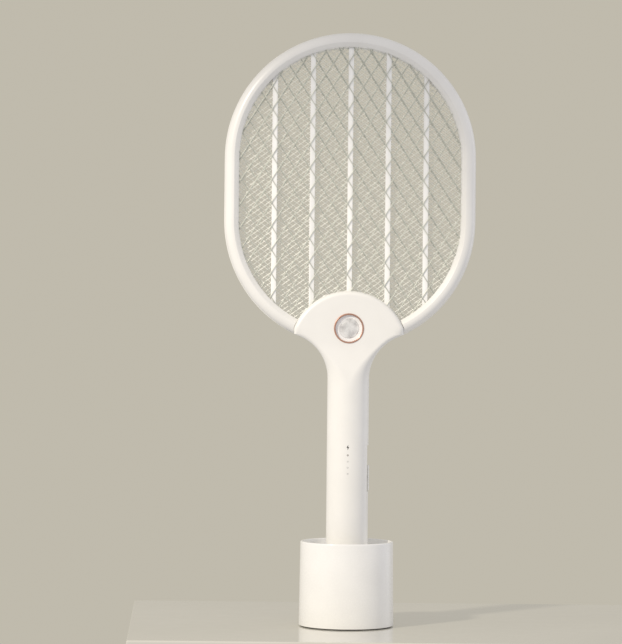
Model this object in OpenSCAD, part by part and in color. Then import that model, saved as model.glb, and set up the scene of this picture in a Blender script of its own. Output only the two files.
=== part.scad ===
// Rechargeable electric fly swatter, standing in its charging base.
// The origin is on the table under the middle of the base. +Z is up and the front faces -Y.
// In the head's profiles, u runs inward from the outer edge and v runs towards the front.

/* [Head] */
// Radius of the head's round ends
head_r = 106.2; // [104:0.1:110]
// Distance between the centres of the two round ends
head_gap = 53; // [40:1:80]
// Height of the lower round end's centre
head_z = 342; // [340:1:346]
// Depth of the head frame
frame_t = 21; // [20.5:0.1:22]
// Width of the frame, from its outer edge to the net opening
frame_w = 12.2; // [12:0.1:14]
// Width of one spacer rib
rib_w = 4.3; // [3:0.1:6]
// Distance between spacer ribs
rib_pitch = 32; // [28:1:36]
// Thickness of every net
net_t = 0.8; // [0.6:0.1:1]
// Gap that a spacer holds between two nets
spacer_t = 5; // [4.6:0.1:5.2]
// Width of a guard net cell
guard_cell_w = 12.8; // [12:0.1:20]
// Height of a guard net cell
guard_cell_h = 19.8; // [18:0.1:30]
// Width of a high-voltage net cell
hv_cell_w = 6; // [6:0.5:20]
// Height of a high-voltage net cell
hv_cell_h = 4.36; // [4.3:0.02:16]

/* [Handle] */
// Diameter of the round grip
grip_d = 35.3; // [35:0.1:36]
// Wall thickness of the handle shells
wall = 2; // [1.8:0.1:2.2]
// Radius of the hub dome over the head
hub_r = 50; // [49:0.1:51]
// Height of the dome's centre
hub_z = 232.8; // [232:0.1:234]
// Width of the hub
hub_w = 92.4; // [91:0.1:93]
// Depth of the hub
hub_t = 26; // [26:0.1:27]
// Radius of the concave neck between grip and head
neck_r = 37.3; // [36:0.1:39]
// Height of the lamp's centre
lamp_z = 251.4; // [250:0.1:252]
// Outer radius of the lamp's ring
lamp_r = 12.6; // [12:0.1:12.8]
// Travel of the slide switch
switch_travel = 16; // [8:1:16]

/* [Base] */
// Height of the base's rim
base_h = 71.5; // [68:0.1:74]
// Radius of the base at its lower edge
base_r = 40; // [39.5:0.1:42]
// Radius of the base at its rim
rim_r = 39.25; // [39:0.05:41]
// Height of the deck around the handle's socket
deck_z = 56; // [50:1:60]
// Height at which the handle stands
seat_z = 16; // [16:0.5:17]

/* [Hidden] */
$fn = 64;

grip_r = grip_d / 2;
side_flat = 0.4;
// Depths of the layers, measured from the middle plane
net_out = net_t * 1.5 + spacer_t;
lip_v = frame_t / 2 - 2.9;
seam_v = 2.5;
// Places across the frame's section
round_u = 7.4;
crest_u = 8.4;
pocket_u = 8.3;
stack_u = 8.55;
screw_u = 4.8;
frame_wall = 2;
// The hub's shells leave this much room around the head's frame
gap = 0.25;
// The neck's arcs touch the grip and the head's outline
neck_z = head_z - sqrt(pow(head_r + neck_r, 2) - pow(grip_r + neck_r, 2));
neck_lean = (head_z - neck_z) / (head_r + neck_r);
bevel_w = 3.6;
bevel_h = 4;
blend_z0 = 200;
blend_z1 = 238.6;
shell_z0 = seat_z + 6;
// Frame tangs that reach into the hub
tang_in = 8.2;
tang_out = 3.4;
tang_t = 8;
eye_x = 33.5;
eye_z = head_z - sqrt(pow(head_r - 5.8, 2) - pow(eye_x, 2));
bridge_r = [43.3, 46.9];
bridge_a = 23.2;
net_hub_r = 44.5;
// A net's border, and the gap kept between its two layers of strands
border = 0.9;
layer_gap = 0.02;
// Main board and the cell
board_y = 2;
board_t = 1.6;
board_hw = 12.6;
board_z = [101, 212];
cell_r = 9.2;
cell_z = [27, 92];
lead_x = 11;
// Slide switch
pocket_x = grip_r - 1.1;
switch_z = [114, 153];
knob_len = 21.6;
knob_z = switch_z[0] + 0.4 + knob_len / 2;
stem_len = 5;
// Indicator row
dot_pitch = 5.2;
dot_z = [for (i = [0:3]) 144.7 - i * dot_pitch];
mark_z = 151.3;
// Base
base_wall = 2.2;
foot_gap = 1.2;
well_r = grip_r + 0.4;
post_r = 29;
post_angles = [-90, 30, 150];
pin_x = 7;
pad_z = seat_z + 2;
charge_y = 8.7;
plate_top = 4.8;
ballast_top = plate_top + 6;
board_top = ballast_top + 1.6;
usb_z = board_top + 1.6;

white = [0.96, 0.95, 0.92];
shade_white = [0.88, 0.87, 0.85];
copper = [0.83, 0.55, 0.44];
steel = [0.72, 0.73, 0.72];
brass = [0.85, 0.7, 0.35];
board_green = [0.1, 0.4, 0.25];
black = [0.1, 0.1, 0.11];

// ---- helpers ----

// Extrudes an outline drawn in X and Z from depth y0 to depth y1
module slab(y0, y1) {
    translate([0, y1, 0]) rotate([90, 0, 0]) linear_extrude(y1 - y0) children();
}

// A rod along Y
module rod_y(x, z, r, y0, y1) {
    translate([x, y1, z]) rotate([90, 0, 0]) cylinder(r = r, h = y1 - y0);
}

// A rod along Z
module rod_z(x, y, r, z0, z1) {
    translate([x, y, z0]) cylinder(r = r, h = z1 - z0);
}

// A box between two corners
module block(low, high) {
    translate(low) cube(high - low);
}

module both_sides() {
    children();
    mirror([1, 0, 0]) children();
}

module to_rear() {
    mirror([0, 1, 0]) children();
}

// A pan head screw whose head rests at depth y and whose shank runs towards -Y
module screw_y(x, z, y, head_r, head_h, shank_r, shank_len) {
    difference() {
        rod_y(x, z, head_r, y, y + head_h);
        for (a = [0, 90])
            translate([x, y + head_h, z]) rotate([0, a, 0]) cube([head_r, head_h, 0.5], center = true);
    }
    rod_y(x, z, shank_r, y - shank_len, y);
}

function arc(cx, cy, rx, ry, a0, a1, steps) =
    [for (i = [0:steps]) let (a = a0 + (a1 - a0) * i / steps) [cx + rx * cos(a), cy + ry * sin(a)]];

// Stadium outline of the head at radius r
function stadium(r) = concat(
    arc(0, head_z + head_gap, r, r, 0, 180, 44),
    arc(0, head_z, r, r, 180, 360, 44));

// ---- head frame ----

// Outline of half a frame's section as [u, v], with its seam at v = seam and its edge at u = edge
function section(edge, seam, filled) =
    let (top = frame_t / 2, bend = 3.2, cut = frame_wall + edge)
    concat(
        [[edge + 0.5, seam], [edge, seam + 0.5]],
        arc(round_u, bend, round_u - edge, top - bend, 180, 90, 8),
        [[crest_u, top], [frame_w, lip_v], [frame_w, net_out], [pocket_u, net_out], [pocket_u, seam]],
        filled ? [] : concat(
            [[pocket_u - 1.2, seam]],
            arc(round_u, bend, round_u - cut, top - bend - frame_wall, 94, 180, 6),
            [[cut, seam]]));

// Sweeps a section of [u, v] points round the head's outline
module sweep_head(points) {
    profile = [for (p = points) [head_r - p[0], p[1]]];
    for (end = [0, 1])
        translate([0, 0, head_z + head_gap * (1 - end)]) rotate([90, 0, 0]) rotate([0, 0, 180 * end])
            rotate_extrude(angle = 180, $fn = 128) polygon(profile);
    both_sides() translate([0, 0, head_z]) mirror([0, 1, 0]) linear_extrude(head_gap) polygon(profile);
}

// The hub's outline seen from the front, grown by g
module hub_prism(g) {
    intersection() {
        rod_y(0, hub_z, hub_r + g, -20, 20);
        block([-hub_w / 2 - g, -21, hub_z - 60], [hub_w / 2 + g, 21, hub_z + 60]);
    }
}

// Places children at each frame screw, looking along Y
module at_frame_screws() {
    r = head_r - screw_u;
    for (a = [30, 70, 110, 150])
        translate([r * cos(a), 0, head_z + head_gap + r * sin(a)]) children();
    for (a = [-12, -45, 192, 225])
        translate([r * cos(a), 0, head_z + r * sin(a)]) children();
}

// The tangs and the bridge that carry one frame half into the hub, drawn towards -Y.
// The tangs start at depth v0, so that they clear the other half's lip.
module frame_root(v0) {
    both_sides() translate([0, 0, head_z]) rotate([90, 0, 0]) rotate([0, 0, -70.5])
        rotate_extrude(angle = 11.5)
            translate([head_r - tang_in, v0]) square([tang_in - tang_out, tang_t - v0]);
    both_sides() rod_y(eye_x, eye_z, 4, 0.4 - tang_t, 0);
    translate([0, 0, hub_z]) rotate([90, 0, 0]) rotate([0, 0, bridge_a])
        rotate_extrude(angle = 180 - 2 * bridge_a)
            translate([bridge_r[0], net_out]) square([bridge_r[1] - bridge_r[0], 10.2 - net_out]);
}

module frame_body(edge, seam) {
    difference() {
        union() {
            sweep_head(section(edge, seam, false));
            intersection() {
                sweep_head(section(edge, seam, true));
                hub_prism(5);
            }
        }
        hub_prism(gap);
    }
    frame_root(max(0, seam + 0.3));
}

module front_frame() {
    color(white) difference() {
        union() {
            frame_body(0.5, seam_v);
            at_frame_screws() rod_y(0, 0, 2.4, -9, -seam_v);
        }
        at_frame_screws() rod_y(0, 0, 0.85, -8, 1);
        both_sides() rod_y(eye_x, eye_z, 1.4, -10, 1);
    }
}

module rear_frame() {
    color(white) difference() {
        union() {
            to_rear() frame_body(0, -seam_v);
            at_frame_screws() rod_y(0, 0, 2.6, -seam_v, 9.5);
        }
        at_frame_screws() rod_y(0, 0, 1.2, -9, 12);
        at_frame_screws() rod_y(0, 0, 2.1, 7.5, 12);
        both_sides() rod_y(eye_x, eye_z, 1.4, -1, 10);
    }
}

module frame_screws() {
    color(steel) at_frame_screws() screw_y(0, 0, 7.5, 1.9, 1.6, 0.85, 14.5);
}

// ---- nets and spacers ----

// The stack's outline inset by k, from the clamped edge in the frame to the arc inside the hub
module stack_outline(k) {
    difference() {
        polygon(stadium(head_r - stack_u - k));
        translate([0, hub_z]) circle(r = net_hub_r + k, $fn = 128);
    }
}

// Parallel strands of width w through [x0, z0], leaning by the given angle
module strands(pitch, w, lean, x0, z0) {
    count = ceil(260 / pitch);
    intersection() {
        stack_outline(border / 2);
        translate([x0, z0]) rotate(lean)
            for (i = [-count:count]) translate([0, i * pitch]) square([600, w], center = true);
    }
}

// A net at depth y: a layer of strands each way, held together by a border
module net(cell_w, cell_h, w, x0, z0, y) {
    lean = atan2(cell_h, cell_w);
    pitch = cell_w * sin(lean);
    half = net_t / 2;
    slab(y - half, y - layer_gap) strands(pitch, w, lean, x0, z0);
    slab(y + layer_gap, y + half) strands(pitch, w, -lean, x0, z0);
    slab(y - half, y + half) difference() {
        stack_outline(0);
        stack_outline(border);
    }
}

// A tab of a net at depth y that reaches into the hub above a lead
module net_tab(side, y) {
    x = side * lead_x;
    block([x - 2.5, y - net_t / 2, hub_z + 38], [x + 2.5, y + net_t / 2, hub_z + 43.6]);
}

module guard_net() {
    y = net_t / 2 - net_out;
    net(guard_cell_w, guard_cell_h, 0.8, -34.2, 327.3, y);
    net_tab(-1, y);
}

module front_net() {
    color(steel) guard_net();
}

module rear_net() {
    color(steel) to_rear() guard_net();
}

module hv_net() {
    color(steel) {
        net(hv_cell_w, hv_cell_h, 0.6, 0, head_z, 0);
        net_tab(1, 0);
    }
}

module spacer() {
    slab(-net_t / 2 - spacer_t, -net_t / 2) {
        difference() {
            stack_outline(0);
            difference() {
                polygon(stadium(head_r - frame_w));
                translate([0, hub_z]) circle(r = hub_r + gap, $fn = 128);
            }
        }
        intersection() {
            stack_outline(0);
            for (i = [-2:2])
                translate([i * rib_pitch, head_z]) square([rib_w, 400], center = true);
        }
    }
}

module front_spacer() {
    color(white) spacer();
}

module rear_spacer() {
    color(white) to_rear() spacer();
}

module ground_clip() {
    color(brass) block([-lead_x - 2, -net_out, hub_z + 37.2], [-lead_x + 2, net_out, hub_z + 38]);
}

module hv_terminal() {
    color(brass) rod_y(lead_x, hub_z + 40, 1.6, -net_t / 2 - 0.8, -net_t / 2);
}

module ground_lead() {
    color(black) rod_z(-lead_x, board_y + board_t + 0.8, 0.8, 204, hub_z + 37.2);
}

module hv_lead() {
    color([0.75, 0.1, 0.1]) rod_z(lead_x, board_y - 0.8, 0.8, 204, hub_z + 41);
}

// ---- handle shells ----

function eased(t) = let (c = max(0, min(1, t))) c * c * (3 - 2 * c);

// 0 on the round grip and 1 on the flat hub
function hub_share(z) = eased((z - blend_z0) / (blend_z1 - blend_z0));

function mix(a, b, t) = a + (b - a) * t;

// Height where the neck's arc meets the head's outline, on the outline inset by k
function neck_top(k) = head_z - (head_r - k) * neck_lean;

// Half the handle's width at height z, on the outline inset by k
function half_width(z, k) =
    z <= neck_z ? grip_r - k :
    z <= neck_top(k) ? grip_r + neck_r - sqrt(pow(neck_r + k, 2) - pow(z - neck_z, 2)) :
    min(hub_w / 2 - k, sqrt(pow(head_r - k, 2) - pow(head_z - z, 2)),
        sqrt(max(0, pow(hub_r - k, 2) - pow(z - hub_z, 2))));

// How far a point of the front view is from the handle's outline
function edge_distance(x, z) =
    z <= neck_z ? grip_r - abs(x) :
    let (rise = head_z - z,
         beyond = abs(x) * neck_lean > rise * sqrt(1 - neck_lean * neck_lean),
         below = beyond ? head_r - norm([x, rise])
                        : norm([abs(x) - grip_r - neck_r, z - neck_z]) - neck_r)
    min(below, hub_w / 2 - abs(x), hub_r - norm([x, z - hub_z]));

// Depth of the handle's face at a point, on the shape inset by k
function face_depth(x, z, k) =
    let (s = hub_share(z),
         depth = mix(grip_r, hub_t / 2, s) - k,
         round_w = mix(grip_r, bevel_w, s) - k,
         round_h = mix(grip_r - side_flat, bevel_h, s) - k,
         d = max(0, min(round_w, edge_distance(x, z) - k)))
    depth - round_h + round_h * sqrt(max(0, 1 - pow(1 - d / round_w, 2)));

// Heights of the rings of the handle's shape inset by k
function ring_heights(k, rise, crown) =
    let (side = hub_w / 2 - k,
         low = head_z - sqrt(pow(head_r - k, 2) - pow(side, 2)),
         a0 = acos(side / (hub_r - k)))
    concat(
        [shell_z0 - (k > 0 ? 1 : 0), blend_z0],
        [for (z = [blend_z0 + rise:rise:neck_top(k) - 1]) z],
        [neck_top(k), low],
        [for (i = [0:crown]) hub_z + (hub_r - k) * sin(a0 + (88.5 - a0) * i / crown)]);

// Front half of the handle's shape inset by k, closed at depth y
module half_body(k, y, across, rise, crown) {
    heights = ring_heights(k, rise, crown);
    n = across + 3;
    points = [for (z = heights) let (a = half_width(z, k))
        each concat(
            [[-a, y, z]],
            [for (i = [0:across]) let (x = a * sin(-90 + 180 * i / across)) [x, -face_depth(x, z, k), z]],
            [[a, y, z]])];
    last = len(heights) - 1;
    sides = [for (j = [0:last - 1], i = [0:n - 1])
        let (b = j * n + i, c = j * n + (i + 1) % n)
        each [[b + n, c + n, c], [b + n, c, b]]];
    caps = [[for (i = [0:n - 1]) i], [for (i = [n - 1:-1:0]) last * n + i]];
    polyhedron(points, concat(sides, caps));
}

// Where the handle's screws go, as [x, z]
screw_places = [[eye_x, eye_z], [-eye_x, eye_z], [0, 226], [0, 96.5]];

// Half ring ribs that hold the cell, with notches for the leads
module cell_ribs() {
    for (z = [36, 60, 84])
        difference() {
            intersection() {
                rod_z(0, 0, grip_r - wall + 0.4, z, z + 2);
                block([-30, -30, z], [30, 0, z + 2]);
            }
            rod_z(0, 0, cell_r + 0.1, z - 1, z + 3);
            both_sides() {
                block([cell_r, -2.5, z - 1], [cell_r + 4.5, 2.5, z + 3]);
                rod_z(pin_x, -charge_y, 1.2, z - 1, z + 3);
            }
        }
    // Rib that locks the end cap's groove
    intersection() {
        difference() {
            rod_z(0, 0, grip_r - wall + 0.4, seat_z + 8.5, seat_z + 10.5);
            rod_z(0, 0, 14.4, seat_z + 7, seat_z + 12);
        }
        block([-30, -30, 0], [30, 0, 60]);
    }
}

// One half of the handle, drawn as the front half, before its own holes
module handle_half() {
    difference() {
        union() {
            difference() {
                half_body(0, 0, 28, 4, 12);
                half_body(wall, 1, 18, 6, 8);
            }
            cell_ribs();
            for (p = screw_places) {
                deep = face_depth(p[0], p[1], 0) - 1;
                rod_y(p[0], p[1], 2.8, -deep, p[1] == eye_z ? -tang_t : 0);
            }
            block([14.5, -7, switch_z[0] - 3], [pocket_x - 0.4, 0, switch_z[1] + 3]);
        }
        // Mouth of the net stack and windows for the frame's tangs
        slab(-net_out - gap, 1) difference() {
            polygon(stadium(head_r - tang_in));
            translate([0, hub_z]) circle(r = net_hub_r + 1.5, $fn = 128);
        }
        both_sides() translate([0, 0, head_z]) rotate([90, 0, 0]) rotate([0, 0, -67]) translate([0, 0, -1])
            rotate_extrude(angle = 8) translate([head_r - tang_in - 0.3, 0])
                square([tang_in - tang_out + 0.6, tang_t + 1 + gap]);
        // Pocket and slot of the slide switch
        block([pocket_x, -8, switch_z[0]], [30, 1, switch_z[1]]);
        block([12, -1.7, knob_z - stem_len / 2 - 0.4],
              [20, 1, knob_z + stem_len / 2 + switch_travel + 0.4]);
    }
}

// A lightning mark, grown by g
module charge_mark(g) {
    offset(delta = g) polygon([[0.3, 1.9], [-0.9, -0.2], [-0.1, -0.2], [-0.3, -1.9], [0.9, 0.3], [0.1, 0.3]]);
}

module handle_front_shell() {
    color(white) difference() {
        handle_half();
        for (p = screw_places) rod_y(p[0], p[1], 1.1, p[1] == eye_z ? -11.4 : -12, 1);
        rod_y(0, lamp_z, lamp_r - 0.6, -20, -8);
        for (z = dot_z) rod_y(0, z, 0.9, -20, -12);
        translate([0, 0, mark_z]) slab(-20, -12) charge_mark(0.1);
        both_sides() rod_y(15, lamp_z, 0.8, -11.5, 0);
    }
    color(white) both_sides() difference() {
        rod_y(15, lamp_z, 2.2, -11.6, -4);
        rod_y(15, lamp_z, 0.8, -11.5, 0);
    }
}

module handle_rear_shell() {
    color(white) difference() {
        union() {
            to_rear() handle_half();
            at_board_screws(1.8, board_y + board_t, 14);
        }
        at_board_screws(0.6, 0, 8);
        for (p = screw_places) {
            back = face_depth(p[0], p[1], 0);
            rod_y(p[0], p[1], 1.4, -1, 20);
            rod_y(p[0], p[1], 2.4, back - 2.6, 20);
        }
    }
}

module handle_screws() {
    color(steel) for (p = screw_places) {
        seat = face_depth(p[0], p[1], 0) - 2.6;
        screw_y(p[0], p[1], seat, 2.2, 1.8, 1.1, seat + (p[1] == eye_z ? 11.4 : 8));
    }
}

// ---- lamp ----

// Turns a profile of [radius, distance towards the front] round the lamp's axis
module lamp_turn(points) {
    translate([0, 0, lamp_z]) rotate([90, 0, 0]) rotate_extrude($fn = 96) polygon(points);
}

module lens_ring() {
    front = hub_t / 2;
    color(copper) lamp_turn([
        [lamp_r - 1.3, front + 0.3], [lamp_r - 0.9, front + 0.7], [lamp_r - 0.4, front + 0.7],
        [lamp_r, front + 0.3], [lamp_r, front], [lamp_r - 0.6, front],
        [lamp_r - 0.6, front - 2.8], [lamp_r - 1.3, front - 2.8]]);
}

module lamp_lens() {
    r = lamp_r - 1.3;
    front = hub_t / 2;
    color([0.97, 0.96, 0.94, 0.5]) lamp_turn(concat(
        [[0, front - 2]], [[r, front - 2]], [[r, front - 0.6]],
        [for (i = [0:10]) let (q = (r - 1.2) * cos(9 * i)) [q, front - 0.6 + 0.9 * sin(9 * i)]]));
}

module lamp_reflector() {
    front = hub_t / 2;
    r = lamp_r - 1.3;
    color(shade_white) lamp_turn([
        [r - 1, front - 2], [r, front - 2], [r, front - 3], [9.6, 5.2], [9.6, 4], [8.4, 4]]);
}

module lamp_board() {
    color(board_green) slab(-4, -2.8) difference() {
        translate([0, lamp_z]) union() {
            circle(r = 12);
            square([34, 5], center = true);
        }
        for (x = [-15, 15]) translate([x, lamp_z]) circle(r = 1);
    }
}

module lamp_leds() {
    color([0.95, 0.9, 0.6]) for (a = [0:72:288])
        translate([5.2 * sin(a), -4.5, lamp_z + 5.2 * cos(a)]) cube([3.2, 1, 2.8], center = true);
}

module lamp_screws() {
    color(steel) for (x = [-15, 15]) screw_y(x, lamp_z, -2.8, 1.6, 1.2, 0.8, 7);
}

// ---- board and its parts ----

// Rods at the four screws that hold the main board on the rear shell's posts
module at_board_screws(r, y0, y1) {
    for (z = [108, 204], x = [-8, 8]) rod_y(x, z, r, y0, y1);
}

module main_board() {
    color(board_green) difference() {
        block([-board_hw, board_y, board_z[0]], [board_hw, board_y + board_t, board_z[1]]);
        at_board_screws(0.8, 0, 6);
    }
}

module board_screws() {
    color(steel) {
        at_board_screws(1.3, board_y - 1, board_y);
        at_board_screws(0.6, board_y, 8);
    }
}

// Ribbon from the lamp's board down to the main board, beside the neck's screw
module lamp_lead() {
    color(white) {
        block([4, -2.8, 207], [7, -2.2, 246]);
        block([4, -2.8, 206], [7, board_y, 207]);
    }
}

module hv_transformer() {
    y = board_y + board_t;
    color([0.85, 0.8, 0.3]) block([-7, y + 2, 173], [7, y + 8.5, 187]);
    color(black) {
        block([-7, y, 171], [7, y + 9.2, 173]);
        block([-7, y, 187], [7, y + 9.2, 189]);
    }
}

module hv_capacitor() {
    y = board_y + board_t;
    color([0.75, 0.25, 0.15]) block([-8, y, 152], [8, y + 8, 163]);
}

module hv_diodes() {
    y = board_y + board_t;
    color(black) for (i = [-1:1]) rod_z(i * 4.5, y + 1.4, 1.4, 192, 198);
}

module board_chips() {
    color(black) {
        block([-4, board_y - 1.4, 166], [4, board_y, 174]);
        block([-5, board_y - 1.2, 112], [0, board_y, 118]);
        block([-7, board_y - 2.2, 182], [-1, board_y, 189]);
        block([2, board_y - 1.6, 183], [5.2, board_y, 186]);
    }
}

module indicator_leds() {
    color([0.95, 0.95, 0.8]) for (z = concat(dot_z, [mark_z]))
        block([-1, board_y - 0.8, z - 0.6], [1, board_y, z + 0.6]);
}

module indicator_pipe() {
    color([0.85, 0.85, 0.85, 0.6]) {
        block([-3.5, -13, dot_z[3] - 3], [3.5, -11.5, mark_z + 3.5]);
        for (z = dot_z) {
            rod_y(0, z, 0.8, -grip_r + 0.1, -13);
            rod_y(0, z, 1.4, -11.5, board_y - 0.9);
        }
        translate([0, 0, mark_z]) slab(-grip_r + 0.1, -13) charge_mark(0);
        rod_y(0, mark_z, 1.4, -11.5, board_y - 0.9);
    }
}

// ---- slide switch ----

module switch_knob() {
    face = grip_r + 0.7;
    color(white) difference() {
        union() {
            intersection() {
                block([pocket_x + 0.3, -4, knob_z - knob_len / 2], [face, 4, knob_z + knob_len / 2]);
                rod_z(0, 0, face, knob_z - knob_len, knob_z + knob_len);
            }
            block([14.35, -1.4, knob_z - stem_len / 2], [pocket_x + 0.4, 1.4, knob_z + stem_len / 2]);
        }
        for (i = [-3:3])
            block([face - 0.35, -5, knob_z + i * 2 - 0.3], [face + 1, 5, knob_z + i * 2 + 0.3]);
    }
}

module switch_carriage() {
    low = knob_z - stem_len / 2 - 0.4 - switch_travel - 0.4;
    high = knob_z + stem_len / 2 + switch_travel + 1;
    color(black) block([13.3, -4.5, low], [14.35, 4.5, high]);
}

module switch_wiper() {
    color(brass) block([9.2, board_y - 0.45, knob_z - 3], [13.3, board_y - 0.05, knob_z + 3]);
}

// ---- battery and end cap ----

module battery_cell() {
    color([0.2, 0.45, 0.65]) rod_z(0, 0, cell_r, cell_z[0] + 0.6, cell_z[1] - 0.6);
}

module battery_tabs() {
    color(steel) {
        block([-cell_r - 3.2, -3, cell_z[0]], [3, 3, cell_z[0] + 0.6]);
        block([-3, -3, cell_z[1] - 0.6], [cell_r + 3.2, 3, cell_z[1]]);
    }
}

module battery_leads() {
    color([0.75, 0.1, 0.1]) rod_z(11.2, board_y - 0.8, 0.8, cell_z[1], 104);
    color(black) rod_z(-11.2, board_y - 0.8, 0.8, cell_z[0] + 0.6, 104);
}

// Leads from the contact pads, past the cell, to the main board
module charge_leads() {
    low = seat_z + 9;
    high = 103;
    color([0.2, 0.2, 0.25]) for (x = [-pin_x, pin_x]) {
        rod_z(x, -charge_y, 0.6, low, high);
        block([x - 0.5, -charge_y, low], [x + 0.5, 0.5, low + 0.8]);
        block([x - 0.5, -charge_y, high - 0.8], [x + 0.5, board_y, high]);
    }
}

module end_cap() {
    color(shade_white) difference() {
        union() {
            translate([0, 0, seat_z]) cylinder(r1 = grip_r - 1.4, r2 = grip_r - 0.2, h = 1.2);
            rod_z(0, 0, grip_r - 0.2, seat_z + 1.2, shell_z0);
            rod_z(0, 0, 15.4, shell_z0, seat_z + 11);
        }
        difference() {
            rod_z(0, 0, 17, seat_z + 8.3, seat_z + 10.7);
            rod_z(0, 0, 14.2, seat_z + 8, seat_z + 11);
        }
        rod_z(0, 0, 12, seat_z - 1, pad_z);
        for (x = [-pin_x, pin_x]) {
            rod_z(x, 0, 3.2, pad_z - 1, pad_z + 1.2);
            rod_z(x, 0, 1, pad_z, seat_z + 12);
        }
        block([-13, -12, seat_z + 8], [13, 12, seat_z + 12]);
    }
}

module contact_pads() {
    color(brass) for (x = [-pin_x, pin_x]) {
        rod_z(x, 0, 3.2, pad_z, pad_z + 1.2);
        rod_z(x, 0, 1, pad_z + 1.2, seat_z + 9);
    }
}

// ---- charging base ----

// A cup wall with the base's draft, inset by k, between two heights
module base_taper(k, z0, z1) {
    slope = (rim_r - base_r) / (base_h - foot_gap);
    translate([0, 0, z0]) cylinder(r1 = base_r - k + slope * (z0 - foot_gap),
                                   r2 = base_r - k + slope * (z1 - foot_gap), h = z1 - z0, $fn = 128);
}

module usb_opening(g) {
    translate([0, 0, usb_z]) rotate([-90, 0, 0]) linear_extrude(base_r + 5) {
        square([5.8, 3.2 + 2 * g], center = true);
        for (x = [-2.9, 2.9]) translate([x, 0]) circle(r = 1.6 + g);
    }
}

module base_shell() {
    color(white) difference() {
        union() {
            base_taper(0, foot_gap, base_h - 0.8);
            translate([0, 0, base_h - 0.8]) cylinder(r1 = rim_r, r2 = rim_r - 0.8, h = 0.8, $fn = 128);
        }
        base_taper(base_wall, foot_gap - 1, base_h + 1);
        usb_opening(0.5);
    }
    // Ledges that the well and the bottom plate clamp between them
    for (z = [plate_top, deck_z - 4])
        color(white) difference() {
            base_taper(base_wall - 0.5, z, z + 2);
            rod_z(0, 0, 35.5, z - 1, z + 3);
        }
}

module base_well() {
    floor_z = seat_z - 2;
    color(shade_white) difference() {
        union() {
            base_taper(base_wall + 0.15, deck_z - 2, deck_z);
            rod_z(0, 0, well_r + wall, floor_z, deck_z);
            for (a = post_angles) rotate([0, 0, a]) rod_z(post_r, 0, 3.2, plate_top, deck_z - 1);
        }
        rod_z(0, 0, well_r, seat_z, deck_z + 1);
        for (x = [-pin_x, pin_x]) rod_z(x, 0, 2.2, floor_z - 1, seat_z + 1);
        for (a = post_angles) rotate([0, 0, a]) rod_z(post_r, 0, 1.1, 4, 17);
    }
}

module base_plate() {
    color(shade_white) difference() {
        rod_z(0, 0, base_r - base_wall - 0.25, 1, plate_top);
        difference() {
            rod_z(0, 0, 36, 0, 2.2);
            rod_z(0, 0, 31.5, 0, 3);
        }
        for (a = post_angles) rotate([0, 0, a]) {
            rod_z(post_r, 0, 1.4, 0, 6);
            rod_z(post_r, 0, 2.4, 0, 2.8);
        }
    }
}

module foot_ring() {
    color(black) difference() {
        rod_z(0, 0, 35.9, 0, 2.2);
        rod_z(0, 0, 31.6, -1, 3);
    }
}

module ballast_ring() {
    color(steel) difference() {
        rod_z(0, 0, 35.2, plate_top, ballast_top);
        rod_z(0, 0, 21, 4, 12);
        for (a = post_angles) rotate([0, 0, a]) rod_z(post_r, 0, 3.5, 4, 12);
    }
}

module charging_board() {
    color(board_green) block([-13, 20.6, ballast_top], [13, 34.5, board_top]);
}

module usb_socket() {
    color(steel) difference() {
        intersection() {
            usb_opening(0);
            block([-10, 29, 0], [10, 37.4, 30]);
        }
        translate([0, 0, usb_z]) rotate([-90, 0, 0]) linear_extrude(60)
            square([7, 2.2], center = true);
    }
    color(black) block([-3, 29.2, usb_z - 0.35], [3, 36.6, usb_z + 0.35]);
}

module base_leads() {
    color([0.75, 0.1, 0.1]) for (x = [-pin_x, pin_x])
        block([x - 0.5, 2.2, board_top - 1.2], [x + 0.5, 20.6, board_top - 0.4]);
}

module pin_barrels() {
    color(brass) for (x = [-pin_x, pin_x])
        difference() {
            rod_z(x, 0, 2.2, 6, seat_z);
            rod_z(x, 0, 1.6, 7, seat_z - 1);
            rod_z(x, 0, 1, seat_z - 2, seat_z + 1);
        }
}

module charging_pin(x) {
    color(brass) {
        rod_z(x, 0, 1.5, seat_z - 2.6, seat_z - 1.1);
        rod_z(x, 0, 0.9, seat_z - 1.1, pad_z - 0.4);
        translate([x, 0, pad_z - 0.4]) cylinder(r1 = 0.9, r2 = 0.5, h = 0.4);
    }
}

module charging_pin_left() {
    charging_pin(-pin_x);
}

module charging_pin_right() {
    charging_pin(pin_x);
}

// A coil spring as one swept polyhedron between two heights
module spring(x, r, wire_r, z0, z1, turns) {
    steps = turns * 12;
    sides = 6;
    points = [for (i = [0:steps], k = [0:sides - 1])
        let (a = 360 * turns * i / steps, b = 360 * k / sides, q = r + wire_r * cos(b))
        [x + q * cos(a), q * sin(a), mix(z0 + wire_r, z1 - wire_r, i / steps) + wire_r * sin(b)]];
    skin = [for (i = [0:steps - 1], k = [0:sides - 1])
        let (p = i * sides + k, q = i * sides + (k + 1) % sides)
        each [[p, q, q + sides], [p, q + sides, p + sides]]];
    caps = [[for (k = [sides - 1:-1:0]) k], [for (k = [0:sides - 1]) steps * sides + k]];
    polyhedron(points, concat(skin, caps));
}

module pin_spring(x) {
    color(steel) spring(x, 1.15, 0.2, 7, seat_z - 2.6, 6);
}

module pin_spring_left() {
    pin_spring(-pin_x);
}

module pin_spring_right() {
    pin_spring(pin_x);
}

module base_screws() {
    color(steel) for (a = post_angles) rotate([0, 0, a]) {
        rod_z(post_r, 0, 2.2, 1.2, 2.8);
        rod_z(post_r, 0, 1.1, 2.8, 14);
    }
}

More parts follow.
